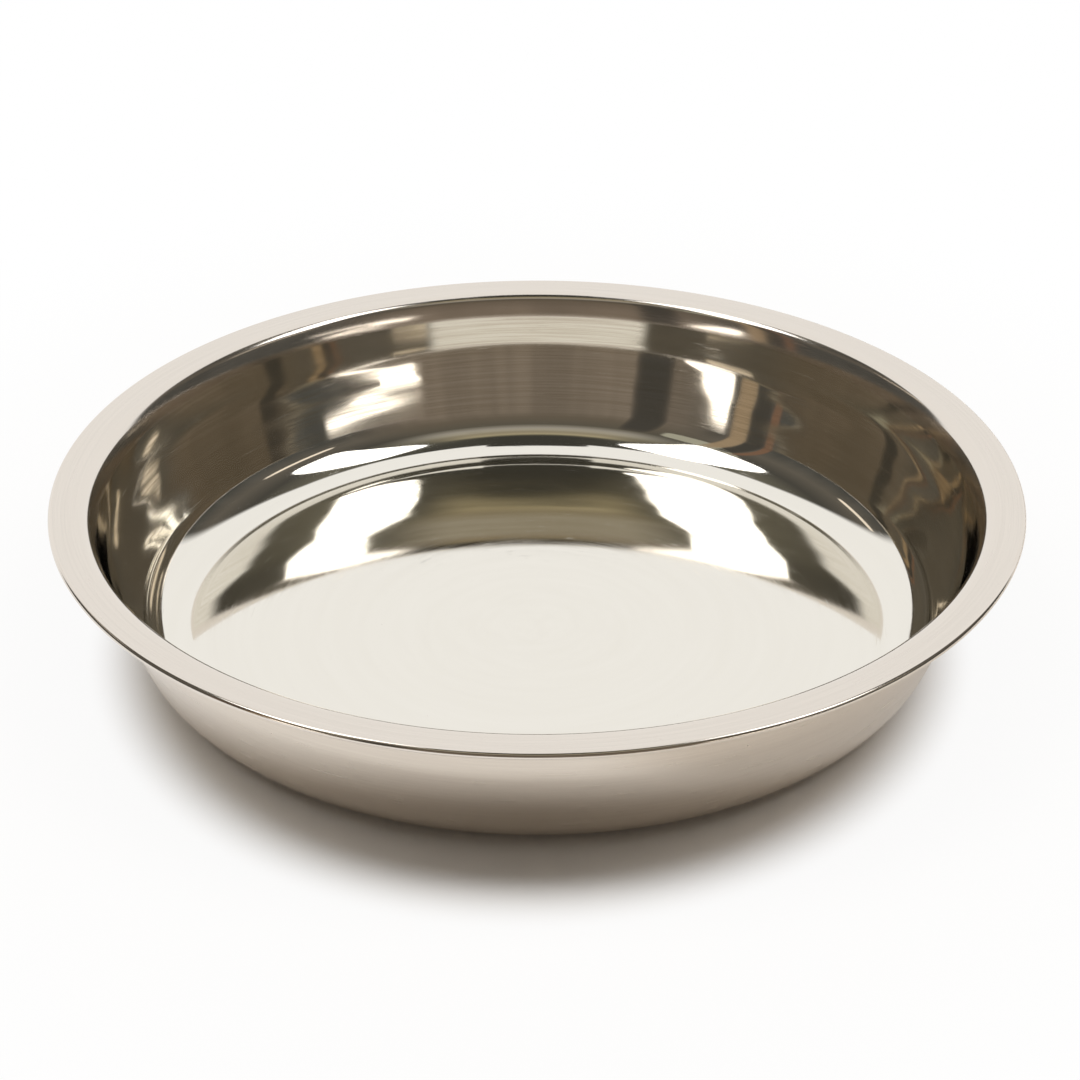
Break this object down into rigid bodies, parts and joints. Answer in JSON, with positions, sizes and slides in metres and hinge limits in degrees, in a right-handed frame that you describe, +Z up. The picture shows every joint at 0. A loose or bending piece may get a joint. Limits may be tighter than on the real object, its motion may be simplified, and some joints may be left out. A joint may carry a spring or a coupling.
{
  "type": "dog bowl",
  "caption": "Shallow round stainless feeding bowl with a flat floor, a leaning polished wall and a wide flat rim with a rolled edge.",
  "frame": {"origin": "middle of the underside, on the surface that the bowl stands on", "axes": "+Z up along the bowl's axis of symmetry; +X and +Y are alike, because the bowl is round"},
  "size_m": [0.25, 0.25, 0.0425],
  "materials": {
    "polished_steel": "stainless sheet, mirror polished on the food side with fine circular polishing lines, satin outside",
    "satin_steel": "stainless sheet with a fine satin finish and faint circular brushing"
  },
  "bodies": {
    "root": {"floor_disc": "polished_steel", "corner_ring": "polished_steel", "side_wall": "polished_steel", "rim_flange": "satin_steel", "rolled_edge": "polished_steel"}
  },
  "joints": []
}
